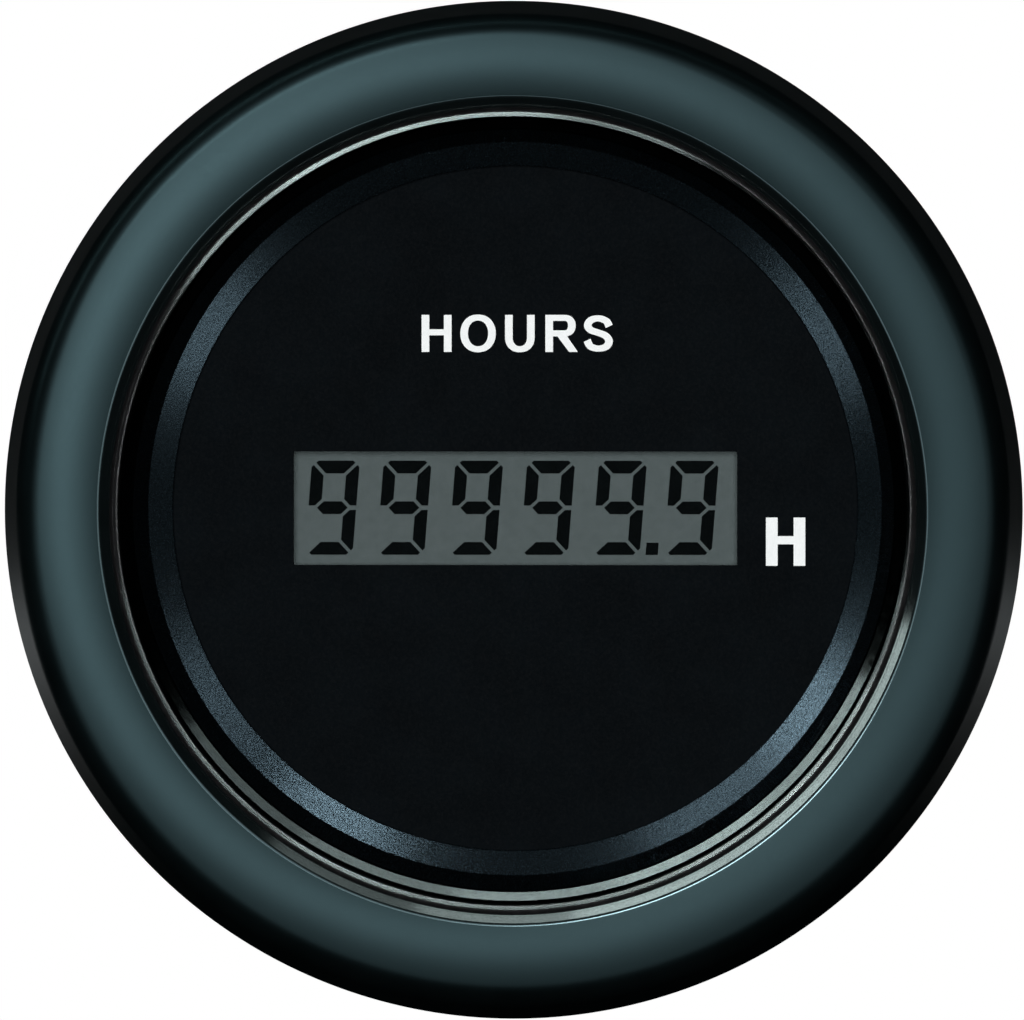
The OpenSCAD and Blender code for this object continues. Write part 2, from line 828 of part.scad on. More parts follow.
module thumb_nut(side) {
    rim_front = washer_back - nut_collar_h;
    color([0.78, 0.66, 0.4])
    translate([side * stud_x, 0, 0])
    difference() {
        union() {
            bar(nut_collar_d, rim_front - 0.5, washer_back);
            intersection() {
                translate([0, 0, nut_back])
                linear_extrude(rim_front - nut_back)
                polygon([
                    for (i = [0 : 2 * knurl_count - 1])
                    let (r = nut_d / 2 - (i % 2) * knurl_depth, turn = i * 180 / knurl_count)
                    r * [cos(turn), sin(turn)]
                ]);
                rotate_extrude()
                polygon([
                    [0, nut_back], [nut_d / 2 - nut_chamfer, nut_back], [nut_d / 2, nut_back + nut_chamfer],
                    [nut_d / 2, rim_front - nut_chamfer], [nut_d / 2 - nut_chamfer, rim_front], [0, rim_front]
                ]);
            }
        }
        bar(nut_bore_d, nut_back - overcut, washer_back + overcut);
    }
}

in_panel() bezel();
in_panel() lens();
in_panel() lens_seal();
in_panel() panel_gasket();
in_panel() throat_ring();
in_panel() dial_ring();
in_panel() dial();
in_panel() display_front_polarizer();
in_panel() display_front_glass();
in_panel() display_segments();
in_panel() display_edge_seal();
in_panel() display_rear_glass();
in_panel() display_reflector();
in_panel() light_guide();
in_panel() backlight_leds();
in_panel() display_holder();
in_panel() contact_strip(1);  // contact_strip_upper
in_panel() contact_strip(-1);  // contact_strip_lower
in_panel() circuit_board();
in_panel() counter_chip();
in_panel() memory_chip();
in_panel() timing_crystal();
in_panel() voltage_regulator();
in_panel() supply_capacitor();
in_panel() supply_diode();
in_panel() surge_suppressor();
in_panel() chip_components();
in_panel() board_screws();
in_panel() case();
in_panel() terminal(blade_at[0]);  // terminal_lighting
in_panel() terminal(blade_at[1]);  // terminal_negative
in_panel() terminal(blade_at[2]);  // terminal_positive
in_panel() mounting_studs();
in_panel() mounting_bracket();
in_panel() lock_washers();
in_panel() thumb_nut(-1);  // thumb_nut_left
in_panel() thumb_nut(1);  // thumb_nut_right
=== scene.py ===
import math

import bmesh
import bpy
from mathutils import Matrix, Vector


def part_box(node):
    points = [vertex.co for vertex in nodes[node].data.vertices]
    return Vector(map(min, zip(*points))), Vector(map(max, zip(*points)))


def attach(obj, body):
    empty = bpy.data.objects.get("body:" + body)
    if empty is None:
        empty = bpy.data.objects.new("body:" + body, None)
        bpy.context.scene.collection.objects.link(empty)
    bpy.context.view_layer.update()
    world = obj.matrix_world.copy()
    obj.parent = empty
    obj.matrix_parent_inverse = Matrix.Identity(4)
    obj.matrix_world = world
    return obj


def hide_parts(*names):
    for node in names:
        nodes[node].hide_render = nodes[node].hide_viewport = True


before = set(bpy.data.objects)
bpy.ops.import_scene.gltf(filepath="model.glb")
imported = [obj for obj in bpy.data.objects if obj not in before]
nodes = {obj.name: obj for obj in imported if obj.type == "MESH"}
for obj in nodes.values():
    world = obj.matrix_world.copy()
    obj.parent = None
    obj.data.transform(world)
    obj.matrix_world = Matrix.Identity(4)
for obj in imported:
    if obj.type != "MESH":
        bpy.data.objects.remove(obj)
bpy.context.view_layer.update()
scene = bpy.context.scene
MM = 0.001


# Materials

def new_material(name):
    material = bpy.data.materials.new(name)
    material.use_nodes = True
    tree = material.node_tree
    tree.nodes.clear()
    return material, tree, tree.nodes.new("ShaderNodeOutputMaterial")


def place(tree, scale=(1.0, 1.0, 1.0)):
    """Object coordinates in metres, stretched by scale."""
    coords = tree.nodes.new("ShaderNodeTexCoord")
    mapping = tree.nodes.new("ShaderNodeMapping")
    mapping.inputs["Scale"].default_value = scale
    tree.links.new(coords.outputs["Object"], mapping.inputs["Vector"])
    return mapping.outputs["Vector"]


def noise(tree, where, scale, detail=3.0, rough=0.55):
    node = tree.nodes.new("ShaderNodeTexNoise")
    node.inputs["Scale"].default_value = scale
    node.inputs["Detail"].default_value = detail
    node.inputs["Roughness"].default_value = rough
    tree.links.new(where, node.inputs["Vector"])
    return node.outputs[0]


def spread(tree, value, low, high, from_low=0.3, from_high=0.7):
    """The value, stretched from one range to another and held inside it."""
    node = tree.nodes.new("ShaderNodeMapRange")
    for socket, number in zip(node.inputs[1:5], (from_low, from_high, low, high)):
        socket.default_value = number
    tree.links.new(value, node.inputs[0])
    return node.outputs[0]


def two_colours(tree, factor, dark, light):
    node = tree.nodes.new("ShaderNodeMix")
    node.data_type = "RGBA"
    node.inputs[6].default_value = (*dark, 1)
    node.inputs[7].default_value = (*light, 1)
    tree.links.new(factor, node.inputs[0])
    return node.outputs[2]


def maths(tree, operation, first, second):
    node = tree.nodes.new("ShaderNodeMath")
    node.operation = operation
    tree.links.new(first, node.inputs[0])
    tree.links.new(second, node.inputs[1])
    return node.outputs[0]


def two_shaders(tree, output, factor, first, second):
    node = tree.nodes.new("ShaderNodeMixShader")
    tree.links.new(factor, node.inputs[0])
    tree.links.new(first.outputs[0], node.inputs[1])
    tree.links.new(second.outputs[0], node.inputs[2])
    tree.links.new(node.outputs[0], output.inputs["Surface"])


def bumped(tree, height, strength, distance, edge=0.0):
    """A grain over the surface, whose edges look rounded by the radius edge."""
    node = tree.nodes.new("ShaderNodeBump")
    node.inputs["Strength"].default_value = strength
    node.inputs["Distance"].default_value = distance
    tree.links.new(height, node.inputs["Height"])
    if edge:
        rounded = tree.nodes.new("ShaderNodeBevel")
        rounded.inputs["Radius"].default_value = edge
        tree.links.new(rounded.outputs["Normal"], node.inputs["Normal"])
    return node.outputs["Normal"]


def surface(name, dark, light, rough, mottle=500, grain=5000, bump=0.15, depth=0.00002,
            stretch=(1.0, 1.0, 1.0), metallic=0.0, level=0.5, ior=1.5, tint=None, edge=0.0):
    """A solid finish: mottled colour, uneven roughness and a fine grain."""
    material, tree, output = new_material(name)
    shader = tree.nodes.new("ShaderNodeBsdfPrincipled")
    where = place(tree, stretch)
    colour = two_colours(tree, spread(tree, noise(tree, where, mottle), 0, 1), dark, light)
    fine = noise(tree, where, grain, 4.0, 0.6)
    tree.links.new(colour, shader.inputs["Base Color"])
    tree.links.new(spread(tree, fine, *rough), shader.inputs["Roughness"])
    tree.links.new(bumped(tree, fine, bump, depth, edge), shader.inputs["Normal"])
    shader.inputs["Metallic"].default_value = metallic
    shader.inputs["IOR"].default_value = ior
    shader.inputs["Specular IOR Level"].default_value = level
    if tint:
        shader.inputs["Specular Tint"].default_value = (*tint, 1)
    tree.links.new(shader.outputs[0], output.inputs["Surface"])
    return material


def clear(name, tint, rough, ior):
    """A thin clear sheet: light goes straight through and gloss comes from its outside."""
    material, tree, output = new_material(name)
    through = tree.nodes.new("ShaderNodeBsdfTransparent")
    through.inputs["Color"].default_value = (*tint, 1)
    gloss = tree.nodes.new("ShaderNodeBsdfGlossy")
    uneven = noise(tree, place(tree), 180, 5.0)
    tree.links.new(spread(tree, uneven, *rough), gloss.inputs["Roughness"])
    fresnel = tree.nodes.new("ShaderNodeFresnel")
    fresnel.inputs["IOR"].default_value = ior
    side = tree.nodes.new("ShaderNodeNewGeometry")
    outside = spread(tree, side.outputs["Backfacing"], 1, 0, 0, 1)
    shine = maths(tree, "MULTIPLY", fresnel.outputs[0], outside)
    two_shaders(tree, output, shine, through, gloss)
    return material


BEZEL = surface("bezel_satin", (0.0014, 0.0026, 0.0028), (0.0026, 0.0044, 0.0048), (0.28, 0.34),
                mottle=260, grain=9000, bump=0.12, depth=0.000012, level=0.3,
                tint=(0.48, 0.84, 0.93))
# The lip's two finishes are glossier than the bezel's, and their colours are lighter: real gloss
# plus a painted highlight on the lip
LIP_GLOSS_AND_HIGHLIGHT = surface("bezel_lip", (0.0032, 0.0054, 0.0058), (0.0052, 0.0084, 0.009), (0.1, 0.16),
                   mottle=260, grain=9000, bump=0.05, depth=0.000012, level=1.0, ior=1.8)
LIP_LINE_GLOSS_AND_HIGHLIGHT = surface("bezel_lip_edge", (0.0032, 0.0054, 0.0058), (0.0052, 0.0084, 0.009),
                   (0.16, 0.22), mottle=260, grain=9000, bump=0.08, depth=0.000012, level=0.9,
                   ior=1.8, tint=(0.6, 0.9, 0.98))
THROAT = surface("throat_gloss", (0.0012, 0.0018, 0.002), (0.0022, 0.003, 0.0034), (0.07, 0.13),
                 mottle=700, grain=2500, bump=0.03, level=1.0)
RING = surface("ring_satin", (0.046, 0.07, 0.086), (0.1, 0.15, 0.185), (0.22, 0.3), mottle=9000,
               grain=12000, bump=0.1, depth=0.00001, metallic=1.0)
DIAL = surface("dial_print", (0.0011, 0.002, 0.0028), (0.0018, 0.0031, 0.0042), (0.55, 0.7),
               mottle=300, grain=6000, bump=0.06, level=0.02)
INK = surface("legend_ink", (0.9, 0.92, 0.92), (0.96, 0.97, 0.97), (0.5, 0.62), mottle=2500,
              grain=9000, bump=0.05, level=0.3)
REFLECTOR = surface("display_reflector", (0.066, 0.081, 0.086), (0.079, 0.094, 0.1), (0.45, 0.6),
                    mottle=1500, grain=16000, bump=0.2, depth=0.00001, level=0.2)
SEGMENT = surface("display_segment", (0.001, 0.0018, 0.0022), (0.002, 0.003, 0.0036), (0.6, 0.72),
                  mottle=1200, grain=8000, bump=0.02, level=0.02)
RUBBER = surface("rubber_black", (0.004, 0.004, 0.0045), (0.009, 0.009, 0.01), (0.7, 0.86),
                 mottle=900, grain=5200, bump=0.35, depth=0.00004, level=0.12)
CASE = surface("case_moulded", (0.011, 0.012, 0.013), (0.02, 0.021, 0.023), (0.4, 0.55),
               mottle=350, grain=4200, bump=0.4, depth=0.00003, level=0.4, edge=0.0002)
ZINC = surface("zinc_sheet", (0.5, 0.51, 0.51), (0.6, 0.61, 0.6), (0.28, 0.4), mottle=1600,
               grain=5200, bump=0.06, stretch=(0.05, 0.05, 1.0), metallic=1.0, edge=0.00015)
STEEL = surface("zinc_fastener", (0.54, 0.54, 0.52), (0.64, 0.64, 0.62), (0.24, 0.34), mottle=900,
                grain=3600, bump=0.04, metallic=1.0, edge=0.00008)
BLADE = surface("blade_brass", (0.66, 0.5, 0.22), (0.76, 0.59, 0.28), (0.24, 0.34), mottle=600,
                grain=3000, bump=0.04, stretch=(1.0, 0.1, 1.0), metallic=1.0, edge=0.0001)
NUT = surface("nut_brass", (0.62, 0.46, 0.2), (0.72, 0.55, 0.26), (0.24, 0.34), mottle=800,
              grain=4200, bump=0.04, metallic=1.0, edge=0.0001)
BOARD = surface("board_green", (0.006, 0.05, 0.022), (0.012, 0.085, 0.04), (0.28, 0.4),
                mottle=700, grain=3000)
CHIP = surface("chip_body", (0.01, 0.01, 0.011), (0.02, 0.02, 0.021), (0.5, 0.65), mottle=900,
               grain=8000)
CAN = surface("metal_can", (0.52, 0.53, 0.55), (0.7, 0.71, 0.73), (0.2, 0.34), metallic=1.0,
              grain=3000)
COMPONENT = surface("component_body", (0.28, 0.2, 0.12), (0.42, 0.33, 0.22), (0.4, 0.6),
                    mottle=2500)
WHITE = surface("holder_white", (0.6, 0.61, 0.58), (0.74, 0.75, 0.72), (0.4, 0.55))
CONTACT = surface("contact_rubber", (0.04, 0.045, 0.055), (0.13, 0.14, 0.16), (0.6, 0.75),
                  stretch=(6.0, 0.2, 0.2), mottle=900)
LAMP = surface("led_body", (0.62, 0.55, 0.3), (0.8, 0.74, 0.48), (0.15, 0.28), mottle=2000)
EDGE = surface("edge_seal", (0.2, 0.21, 0.2), (0.32, 0.33, 0.31), (0.45, 0.6), mottle=2000)
LENS = clear("lens_clear", (0.985, 0.99, 0.99), (0.0, 0.02), 1.58)
LENS_RIM = clear("lens_rim", (0.985, 0.99, 0.99), (0.13, 0.17), 1.58)
GLASS = clear("display_glass", (0.98, 0.985, 0.982), (0.0, 0.03), 1.12)
FILM = clear("polarizer_film", (0.95, 0.965, 0.96), (0.06, 0.12), 1.1)
ACRYLIC = clear("guide_acrylic", (0.9, 0.92, 0.92), (0.05, 0.12), 1.4)
FLAG = surface("flag_black", (0.002, 0.002, 0.002), (0.004, 0.004, 0.004), (0.9, 1.0), level=0.0)

FINISH = {
    "bezel": BEZEL, "lens": LENS, "throat_ring": THROAT, "dial_ring": RING, "dial": DIAL,
    "lens_seal": RUBBER, "panel_gasket": RUBBER, "display_front_polarizer": FILM,
    "display_front_glass": GLASS, "display_segments": SEGMENT, "display_edge_seal": EDGE,
    "display_rear_glass": REFLECTOR, "display_reflector": REFLECTOR, "light_guide": ACRYLIC,
    "backlight_leds": LAMP, "display_holder": WHITE, "contact_strip_upper": CONTACT,
    "contact_strip_lower": CONTACT, "circuit_board": BOARD, "counter_chip": CHIP,
    "memory_chip": CHIP, "timing_crystal": CAN, "voltage_regulator": CHIP,
    "supply_capacitor": CAN, "supply_diode": CHIP, "surge_suppressor": CHIP,
    "chip_components": COMPONENT, "board_screws": STEEL, "case": CASE,
    "terminal_lighting": BLADE, "terminal_negative": BLADE, "terminal_positive": BLADE,
    "mounting_studs": STEEL, "mounting_bracket": ZINC, "lock_washers": STEEL,
    "thumb_nut_left": NUT, "thumb_nut_right": NUT,
}
for name, material in FINISH.items():
    mesh = nodes[name].data
    mesh.materials.clear()
    mesh.materials.append(material)


# Shapes

def finished(name, mesh, material, body="meter", instead_of=None):
    """An object of a mesh in the row frame, in its finish and on its body."""
    mesh.materials.append(material)
    obj = bpy.data.objects.new(name, mesh)
    scene.collection.objects.link(obj)
    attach(obj, body)
    if instead_of:
        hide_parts(instead_of)
    return obj


def smooth(mesh, limit):
    """Smooth faces, with edges sharper than limit degrees kept sharp."""
    shape = bmesh.new()
    shape.from_mesh(mesh)
    for face in shape.faces:
        face.smooth = True
    for edge in shape.edges:
        angle = edge.calc_face_angle(0)
        edge.smooth = len(edge.link_faces) == 2 and angle < math.radians(limit)
    shape.to_mesh(mesh)
    shape.free()


def solid(name, verts, faces, limit, bevel=0.0):
    """A mesh of closed shells, with their faces outwards and their edges cut by bevel."""
    mesh = bpy.data.meshes.new(name)
    mesh.from_pydata(verts, [], faces)
    shape = bmesh.new()
    shape.from_mesh(mesh)
    bmesh.ops.recalc_face_normals(shape, faces=shape.faces)
    if bevel:
        bmesh.ops.bevel(shape, geom=shape.edges[:], offset=bevel, segments=2, affect="EDGES")
    shape.to_mesh(mesh)
    shape.free()
    smooth(mesh, limit)
    return mesh


def sin(degrees):
    return math.sin(math.radians(degrees))


def tan(degrees):
    return math.tan(math.radians(degrees))


def arc(centre, radius, start, end, steps):
    """Points of an arc in section, at tilts from the axis towards the outside."""
    tilts = [math.radians(start + (end - start) * i / steps) for i in range(steps + 1)]
    return [(centre[0] + radius * math.sin(t), centre[1] + radius * math.cos(t)) for t in tilts]


def on_arc(centre, radius, tilt):
    return arc(centre, radius, tilt, tilt, 1)[0]


def lathe(name, section, steps=288, limit=28):
    """A closed section (radius, level towards the viewer, in mm) turned about the meter's axis."""
    verts, faces, rings = [], [], []
    for radius, level in section:
        if radius < 1e-6:
            rings.append([len(verts)] * steps)
            verts.append((0, -level * MM, 0))
            continue
        rings.append(list(range(len(verts), len(verts) + steps)))
        for i in range(steps):
            turn = 2 * math.pi * i / steps
            verts.append((radius * math.cos(turn) * MM, -level * MM, radius * math.sin(turn) * MM))
    for k, ring in enumerate(rings):
        after = rings[(k + 1) % len(rings)]
        for i in range(steps):
            j = (i + 1) % steps
            corners = list(dict.fromkeys((ring[i], ring[j], after[j], after[i])))
            if len(corners) > 2:
                faces.append(corners)
    return solid(name, verts, faces, limit)


def eased(section, radius, steps=3, guard=0.03, long_run=0.25, nearly_straight=150):
    """The closed section with its corners rounded off, and points that keep its flats flat."""
    points = []
    for k, corner in enumerate(section):
        before, after = section[k - 1], section[(k + 1) % len(section)]
        arms = [(p[0] - corner[0], p[1] - corner[1]) for p in (before, after)]
        lengths = [math.hypot(*arm) for arm in arms]
        cosine = ((arms[0][0] * arms[1][0] + arms[0][1] * arms[1][1])
                  / (lengths[0] * lengths[1]))
        turn = math.degrees(math.acos(max(-1, min(1, cosine))))
        reach = min(radius, 0.4 * min(lengths))
        if turn > nearly_straight or corner[0] < 1e-6 or not reach:
            points.append(corner)
            continue
        ends = [(corner[0] + arm[0] * reach / length, corner[1] + arm[1] * reach / length)
                for arm, length in zip(arms, lengths)]
        for i in range(steps + 1):
            t = i / steps
            points.append(tuple((1 - t) ** 2 * ends[0][d] + 2 * t * (1 - t) * corner[d]
                                + t ** 2 * ends[1][d] for d in (0, 1)))
    guarded = []
    for k, point in enumerate(points):
        guarded.append(point)
        after = points[(k + 1) % len(points)]
        run = math.hypot(after[0] - point[0], after[1] - point[1])
        if run > long_run:
            for t in (guard / run, 1 - guard / run):
                guarded.append(tuple(point[d] + (after[d] - point[d]) * t for d in (0, 1)))
    return guarded


# Radii and levels of the face, in mm, as in the frame. Levels count towards the viewer.
BARREL_R, NECK_R, RING_R = 25.75, 25.3, 24.0
LENS_BACK, LENS_SEAT, FLANGE_FRONT, LENS_FRONT, CROWN = 2.6, 3.1, 4.5, 4.9, 5.25
RING_FRONT, DIAL_FRONT = -1.1, -2.4

# Bezel: its arcs' radii, the tilts in degrees at which they meet, and its inside
BEZEL_R, SKIRT_R, SPIGOT_R = 31.0, 29.8, 26.05
LIP_INSET, SHOULDER_INSET, LIP, SHOULDER = 0.75, 2.4, 0.45, 1.8
LIP_TILT, END_TILT, THROAT_TILT, SIDE_TILT = 10.0, 4.5, 38.0, 62.0
POCKET_R, BORE_R, BEAD_R = NECK_R + 0.85, NECK_R + 0.05, NECK_R - 0.25
BEAD_TOP, BEAD_BOTTOM, BEAD_SLOPE = 1.75, 0.85, 0.3
RECESS, SKIRT_END, SKIRT_CHAMFER = 1.0, 0.2, 0.4
lip_r = BARREL_R - LIP_INSET + LIP * sin(THROAT_TILT)
shoulder_r = BEZEL_R - SHOULDER_INSET
crown_radius = ((shoulder_r - lip_r + SHOULDER * sin(END_TILT) + LIP * sin(LIP_TILT))
                / (sin(LIP_TILT) + sin(END_TILT)))
crown_c = (lip_r + (crown_radius - LIP) * sin(LIP_TILT), CROWN - crown_radius)
shoulder_c = on_arc(crown_c, crown_radius - SHOULDER, END_TILT)
lip_c = on_arc(crown_c, crown_radius - LIP, -LIP_TILT)
throat_top = on_arc(lip_c, LIP, -THROAT_TILT)
throat_r = throat_top[0] - (throat_top[1] - FLANGE_FRONT) / tan(THROAT_TILT)
side_top = on_arc(shoulder_c, SHOULDER, SIDE_TILT)
side_z = side_top[1] - (BEZEL_R - side_top[0]) * tan(SIDE_TILT)
bezel_inside = [
    (throat_r, FLANGE_FRONT), (POCKET_R, FLANGE_FRONT), (POCKET_R, LENS_BACK),
    (BORE_R, LENS_BACK), (BORE_R, BEAD_TOP), (BEAD_R, BEAD_TOP - BEAD_SLOPE),
    (BEAD_R, BEAD_BOTTOM + BEAD_SLOPE), (BORE_R, BEAD_BOTTOM), (BORE_R, 0), (SPIGOT_R, 0),
    (SPIGOT_R, RECESS), (SKIRT_R, RECESS), (SKIRT_R, SKIRT_END),
    (BEZEL_R - SKIRT_CHAMFER, SKIRT_END), (BEZEL_R, SKIRT_END + SKIRT_CHAMFER), (BEZEL_R, side_z),
]
bezel_front = arc(shoulder_c, SHOULDER, SIDE_TILT, END_TILT, 16)
bezel_front += arc(crown_c, crown_radius, END_TILT, -LIP_TILT, 20)[1:]
bezel_front += arc(lip_c, LIP, -LIP_TILT, -THROAT_TILT, 10)[1:]
bezel = finished("bezel_ring", lathe("bezel_ring", eased(bezel_inside + bezel_front, 0.12)), BEZEL,
                 instead_of="bezel")


def front_faces(obj):
    """The faces of a turned piece in front of the lens's flange, each with its radius in mm."""
    return [(face, math.hypot(face.center[0], face.center[2]) / MM) for face in obj.data.polygons
            if face.center[1] < -FLANGE_FRONT * MM]


# The lip is glossier, with a fine line round its top; its lighter colour than the bezel's is a
# painted highlight over the real gloss
LIP_LINE_IN, LIP_LINE_OUT = 25.02, 25.19
bezel.data.materials.append(LIP_LINE_GLOSS_AND_HIGHLIGHT)
bezel.data.materials.append(LIP_GLOSS_AND_HIGHLIGHT)
for face, radius in front_faces(bezel):
    if radius < LIP_LINE_OUT:
        face.material_index = 1 if radius > LIP_LINE_IN else 2

# Lens, with a softer gloss on its rim
LENS_R, WINDOW_GAP, BEVEL_WIDTH, BEVEL_DEPTH, RIM_WIDTH = NECK_R + 0.7, 0.15, 0.35, 0.12, 0.45
window_r = throat_r - WINDOW_GAP
lens_section = [
    (0, LENS_BACK), (RING_R, LENS_BACK), (RING_R, LENS_SEAT), (LENS_R, LENS_SEAT),
    (LENS_R, FLANGE_FRONT), (window_r, FLANGE_FRONT), (window_r, LENS_FRONT - BEVEL_DEPTH),
    (window_r - BEVEL_WIDTH, LENS_FRONT), (0, LENS_FRONT),
]
lens = finished("lens_window", lathe("lens_window", eased(lens_section, 0.05)), LENS,
                instead_of="lens")
lens.data.materials.append(LENS_RIM)
for face, radius in front_faces(lens):
    if radius > window_r - RIM_WIDTH:
        face.material_index = 1

# Throat, with a step below the lens
THROAT_FOOT_R, THROAT_TOP_R, STEP_IN_R, STEP_OUT_R, STEP = 22.5, 23.18, 23.3, 23.8, 2.43
throat_section = [
    (THROAT_FOOT_R, RING_FRONT), (RING_R, RING_FRONT), (RING_R, LENS_BACK),
    (STEP_OUT_R, LENS_BACK), (STEP_IN_R, STEP), (THROAT_TOP_R, STEP),
]
throat = finished("throat_wall", lathe("throat_wall", eased(throat_section, 0.0), limit=8), THROAT,
                  instead_of="throat_ring")

# Satin ring, which falls towards the dial
RING_HOLE_R, RING_FALL = 21.05, 0.8
ring_section = [
    (RING_HOLE_R, DIAL_FRONT), (RING_R, DIAL_FRONT), (RING_R, RING_FRONT),
    (THROAT_FOOT_R, RING_FRONT), (RING_HOLE_R, RING_FRONT - RING_FALL),
]
ring = finished("satin_ring", lathe("satin_ring", eased(ring_section, 0.04)), RING,
                instead_of="dial_ring")


# Printed legends on the dial

def bow(x, y, rx, ry, start, end, steps, power=2.0):
    """Part of a rounded-off oval about (x, y)."""
    points = []
    for i in range(steps + 1):
        turn = math.radians(start + (end - start) * i / steps)
        c, s = math.cos(turn), math.sin(turn)
        points.append((x + rx * math.copysign(abs(c) ** (2 / power), c),
                       y + ry * math.copysign(abs(s) ** (2 / power), s)))
    return points


def letter_h(w, h, stem, bar):
    low, high = (h - bar) / 2 + 0.03 * h, (h + bar) / 2 + 0.03 * h
    return [[(0, 0), (stem, 0), (stem, low), (w - stem, low), (w - stem, 0), (w, 0), (w, h),
             (w - stem, h), (w - stem, high), (stem, high), (stem, h), (0, h)]]


def letter_o(w, h, stem, bar):
    return [bow(w / 2, h / 2, w / 2, h / 2 + 0.02, 0, 356, 89, 2.15),
            bow(w / 2, h / 2, w / 2 - stem, h / 2 + 0.02 - bar, 0, 356, 89, 2.15)]


def letter_u(w, h, stem, bar):
    drop = 0.4 * h
    outer = bow(w / 2, drop, w / 2, drop + 0.02, 180, 360, 40, 2.2)
    inner = bow(w / 2, drop, w / 2 - stem, drop + 0.02 - bar, 360, 180, 40, 2.2)
    return [[(0, h)] + outer + [(w, h), (w - stem, h)] + inner + [(stem, h)]]


def letter_r(w, h, stem, bar):
    foot = 0.42 * h
    half = (h - foot) / 2
    right = 0.93 * w
    outer = bow(right - half, h - half, half, half, 90, -80, 34, 2.2)
    counter = bow(right - half, h - half, half - stem, half - bar, 90, -90, 30, 2.2)
    leg = [(w, 0), (w - 1.15 * stem, 0), (0.37 * w, foot), (stem, foot), (stem, 0)]
    return [[(0, 0), (0, h)] + outer + leg, [(stem, h - bar)] + counter + [(stem, foot + bar)]]


def through_points(path, steps=8):
    """A smooth line through the points of a path."""
    line = []
    for k in range(len(path) - 1):
        p = [path[max(0, min(len(path) - 1, k + d))] for d in (-1, 0, 1, 2)]
        for i in range(steps):
            t = i / steps
            line.append(tuple(0.5 * (2 * p[1][d] + (p[2][d] - p[0][d]) * t
                                     + (2 * p[0][d] - 5 * p[1][d] + 4 * p[2][d] - p[3][d]) * t ** 2
                                     + (3 * p[1][d] - p[0][d] - 3 * p[2][d] + p[3][d]) * t ** 3)
                              for d in (0, 1)))
    return line + [path[-1]]


def letter_s(w, h, stem, bar):
    path = [(0.87, 0.69), (0.77, 0.83), (0.52, 0.905), (0.26, 0.86), (0.145, 0.72), (0.25, 0.59),
            (0.5, 0.52), (0.75, 0.435), (0.865, 0.29), (0.76, 0.14), (0.5, 0.092), (0.24, 0.15),
            (0.125, 0.315)]
    line = [(x * w, y * h) for x, y in through_points(path)]
    sides = ([], [])
    for k, point in enumerate(line):
        a, b = line[max(0, k - 1)], line[min(len(line) - 1, k + 1)]
        run = math.hypot(b[0] - a[0], b[1] - a[1])
        along = ((b[0] - a[0]) / run, (b[1] - a[1]) / run)
        half = (bar + (stem - bar) * abs(along[1])) / 2
        for side, sign in zip(sides, (1, -1)):
            side.append((point[0] - sign * along[1] * half, point[1] + sign * along[0] * half))
    return [sides[0] + sides[1][::-1]]


def print_on_dial(name, letters, thickness=0.03, gap=0.002):
    """Thin flat letters on the dial: (shape, left, bottom, width, height, stem, bar) in mm."""
    curve = bpy.data.curves.new(name, "CURVE")
    curve.dimensions = "2D"
    curve.fill_mode = "BOTH"
    curve.extrude = thickness / 2 * MM
    for shape, left, bottom, *sizes in letters:
        for loop in shape(*sizes):
            spline = curve.splines.new("POLY")
            spline.points.add(len(loop) - 1)
            for point, (x, y) in zip(spline.points, loop):
                point.co = ((left + x) * MM, (bottom + y) * MM, 0, 1)
            spline.use_cyclic_u = True
    maker = bpy.data.objects.new(name + "_outline", curve)
    mesh = bpy.data.meshes.new_from_object(maker)
    bpy.data.objects.remove(maker)
    mesh.materials.clear()
    level = -(DIAL_FRONT + thickness / 2 + gap)
    upright = Matrix.Rotation(math.pi / 2, 4, "X")
    mesh.transform(Matrix.Translation((0, level * MM, 0)) @ upright)
    return finished(name, mesh, INK)


CAP, STEM, BAR, BASE = 2.28, 0.47, 0.37, 9.62
print_on_dial("legend_hours", [
    (shape, left, BASE, width, CAP, STEM, BAR)
    for shape, left, width in ((letter_h, -5.75, 1.84), (letter_o, -3.37, 2.18),
                               (letter_u, -0.62, 1.82), (letter_r, 1.86, 2.0),
                               (letter_s, 4.2, 1.82))
])
print_on_dial("legend_h", [(letter_h, 15.42, -3.52, 2.42, 2.97, 0.72, 0.5)])


# Threads of the studs

def circle(x, radius, y, turn):
    """A point of a circle about a line along +Y at x, in mm, as a vertex."""
    return (x + radius * math.sin(turn)) * MM, y * MM, radius * math.cos(turn) * MM


def threaded(x, core_from, turns_from, turns_to, outer=2.0, depth=0.42, pitch=0.7, chamfer=0.5):
    """A round bar along +Y at x, with a right-hand thread, in mm."""
    around, per_turn = 40, 10
    rows = [(core_from, False)]
    count = int((turns_to - turns_from) / pitch * per_turn)
    rows += [(turns_from + (turns_to - turns_from) * i / count, True) for i in range(count + 1)]
    verts, faces = [], []
    for y, cut in rows:
        for k in range(around):
            radius = outer - 0.02
            if cut:
                phase = (y / pitch - k / around) % 1
                radius = outer - depth * min(1, max(0, 1.25 - abs(phase - 0.5) * 3.4))
                radius = min(radius, outer - max(0, y - (turns_to - chamfer)), outer - 0.001)
            verts.append(circle(x, radius, y, 2 * math.pi * k / around))
    for i in range(len(rows) - 1):
        low, high = i * around, (i + 1) * around
        for k in range(around):
            n = (k + 1) % around
            faces.append((low + k, high + k, high + n, low + n))
    last = (len(rows) - 1) * around
    faces.append(tuple(range(around)))
    faces.append(tuple(last + k for k in reversed(range(around))))
    return verts, faces


def disc(x, radius, start, end, around=48):
    """A plain round bar along +Y at x, in mm."""
    verts = [circle(x, radius, y, 2 * math.pi * k / around)
             for y in (start, end) for k in range(around)]
    faces = [(k, (k + 1) % around, around + (k + 1) % around, around + k) for k in range(around)]
    faces.append(tuple(range(around)))
    faces.append(tuple(2 * around - 1 - k for k in range(around)))
    return verts, faces


